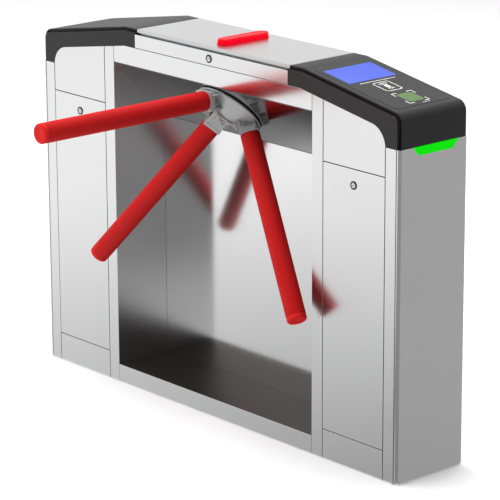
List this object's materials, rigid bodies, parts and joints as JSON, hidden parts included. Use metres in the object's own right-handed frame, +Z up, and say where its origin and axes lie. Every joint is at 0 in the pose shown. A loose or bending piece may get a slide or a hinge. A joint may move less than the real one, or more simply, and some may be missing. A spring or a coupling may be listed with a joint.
{
  "type": "visitor counter turnstile",
  "caption": "Bridge-type tripod turnstile: brushed steel cabinet with an open recess, black end caps, console screen, and red arms on a slanted head that counts people.",
  "frame": {"origin": "centre of the cabinet's base, on the floor", "axes": "+X along the cabinet towards the console end, -Y towards the passage and the arms, +Z up"},
  "size_m": [1.401, 0.7828, 1.015],
  "materials": {
    "steel_skin": "satin brushed stainless steel",
    "recess_steel": "polished stainless steel that mirrors the arms",
    "lid_steel": "fine brushed stainless steel",
    "black_plastic": "fine grained moulded plastic",
    "console_film": "satin printed film",
    "screen": "lit blue display",
    "scan_window": "green tinted window",
    "green_lens": "lit translucent lens",
    "red_lens": "lit translucent lens",
    "red_sleeve": "grained soft plastic sleeve",
    "cast_aluminium": "satin die-cast",
    "machined_steel": "machined",
    "bearing_steel": "ground",
    "lock_chrome": "plated",
    "painted_frame": "grey powder coat",
    "zinc_sheet": "zinc plated",
    "rubber": "moulded",
    "circuit_board": "solder mask",
    "grey_plastic": "moulded"
  },
  "bodies": {
    "cabinet": {"base_plate": "painted_frame", "bearing_housing": "cast_aluminium", "cable_inlet_bush": "rubber", "cap_cover_left": "black_plastic", "cap_cover_right": "black_plastic", "cap_skirt_left": "black_plastic", "cap_skirt_right": "black_plastic", "card_reader": "circuit_board", "code_scanner": "scan_window", "console_film": "console_film", "control_board": "circuit_board", "counter_sensor": "grey_plastic", "end_panel_left": "steel_skin", "end_panel_right": "steel_skin", "equipment_trays": "zinc_sheet", "front_rails": "steel_skin", "housing_bolts": "bearing_steel", "indicator_lens": "green_lens", "inner_frame": "painted_frame", "inner_posts": "steel_skin", "kick_panels": "steel_skin", "lid_hinge_fixed": "zinc_sheet", "mechanism_chassis": "zinc_sheet", "outer_posts": "steel_skin", "power_supply": "zinc_sheet", "rear_panels": "steel_skin", "rear_screws": "bearing_steel", "recess_back_panel": "recess_steel", "recess_sill_panel": "recess_steel", "recess_slant_panel": "recess_steel", "screen_module": "screen", "shaft_bearings": "bearing_steel", "shaft_seal": "rubber", "solenoid": "grey_plastic", "terminal_strip": "grey_plastic", "turn_damper": "machined_steel", "upper_panels": "steel_skin"},
    "tripod": {"hub": "cast_aluminium", "arm_cores": "machined_steel", "arm_sleeves": "red_sleeve", "arm_plugs": "red_sleeve", "main_shaft": "bearing_steel", "index_wheel": "machined_steel", "encoder_disc": "grey_plastic"},
    "lid": {"top_cover": "lid_steel", "lid_frame": "zinc_sheet", "lid_apron": "steel_skin", "lid_hinge_moving": "zinc_sheet", "light_bar": "red_lens", "light_board": "circuit_board", "lid_lock_case": "lock_chrome"},
    "lid_lock": {"lid_lock_plug": "lock_chrome"},
    "door_left": {"door_left": "steel_skin", "door_lock_left_case": "lock_chrome"},
    "door_right": {"door_right": "steel_skin", "door_lock_right_case": "lock_chrome"},
    "door_lock_left": {"door_lock_left_plug": "lock_chrome"},
    "door_lock_right": {"door_lock_right_plug": "lock_chrome"},
    "pawl": {"lock_pawl": "machined_steel"},
    "plunger": {"plunger": "bearing_steel"}
  },
  "joints": [
    {"name": "tripod_turn", "type": "hinge", "parent": "cabinet", "child": "tripod", "pos_m": [0, -0.01182, 0.861], "axis": [0, -0.7071, -0.7071], "continuous": true},
    {"name": "lid_lift", "type": "hinge", "parent": "cabinet", "child": "lid", "pos_m": [0, 0.1135, 0.9885], "axis": [-1, 0, 0], "range_deg": [0, 75]},
    {"name": "lid_lock_turn", "type": "hinge", "parent": "lid", "child": "lid_lock", "pos_m": [0, -0.117, 0.969], "axis": [0, 1, 0], "range_deg": [0, 90]},
    {"name": "door_left_tilt", "type": "hinge", "parent": "cabinet", "child": "door_left", "pos_m": [-0.54, -0.1105, 0.088], "axis": [1, 0, 0], "range_deg": [0, 15]},
    {"name": "door_right_tilt", "type": "hinge", "parent": "cabinet", "child": "door_right", "pos_m": [0.54, -0.1105, 0.088], "axis": [1, 0, 0], "range_deg": [0, 15]},
    {"name": "door_lock_left_turn", "type": "hinge", "parent": "door_left", "child": "door_lock_left", "pos_m": [-0.54, -0.117, 0.739], "axis": [0, -1, 0], "range_deg": [0, 90]},
    {"name": "door_lock_right_turn", "type": "hinge", "parent": "door_right", "child": "door_lock_right", "pos_m": [0.54, -0.117, 0.739], "axis": [0, -1, 0], "range_deg": [0, 90]},
    {"name": "pawl_swing", "type": "hinge", "parent": "cabinet", "child": "pawl", "pos_m": [0.07, 0.0391, 0.861], "axis": [0, -0.7071, -0.7071], "range_deg": [0, 15]},
    {"name": "plunger_pull", "type": "slide", "parent": "cabinet", "child": "plunger", "axis": [1, 0, 0], "range_m": [0, 0.0082]}
  ],
  "couplings": [
    {"joint": "plunger_pull", "follows": "pawl_swing", "m_per_rad": 0.031}
  ]
}
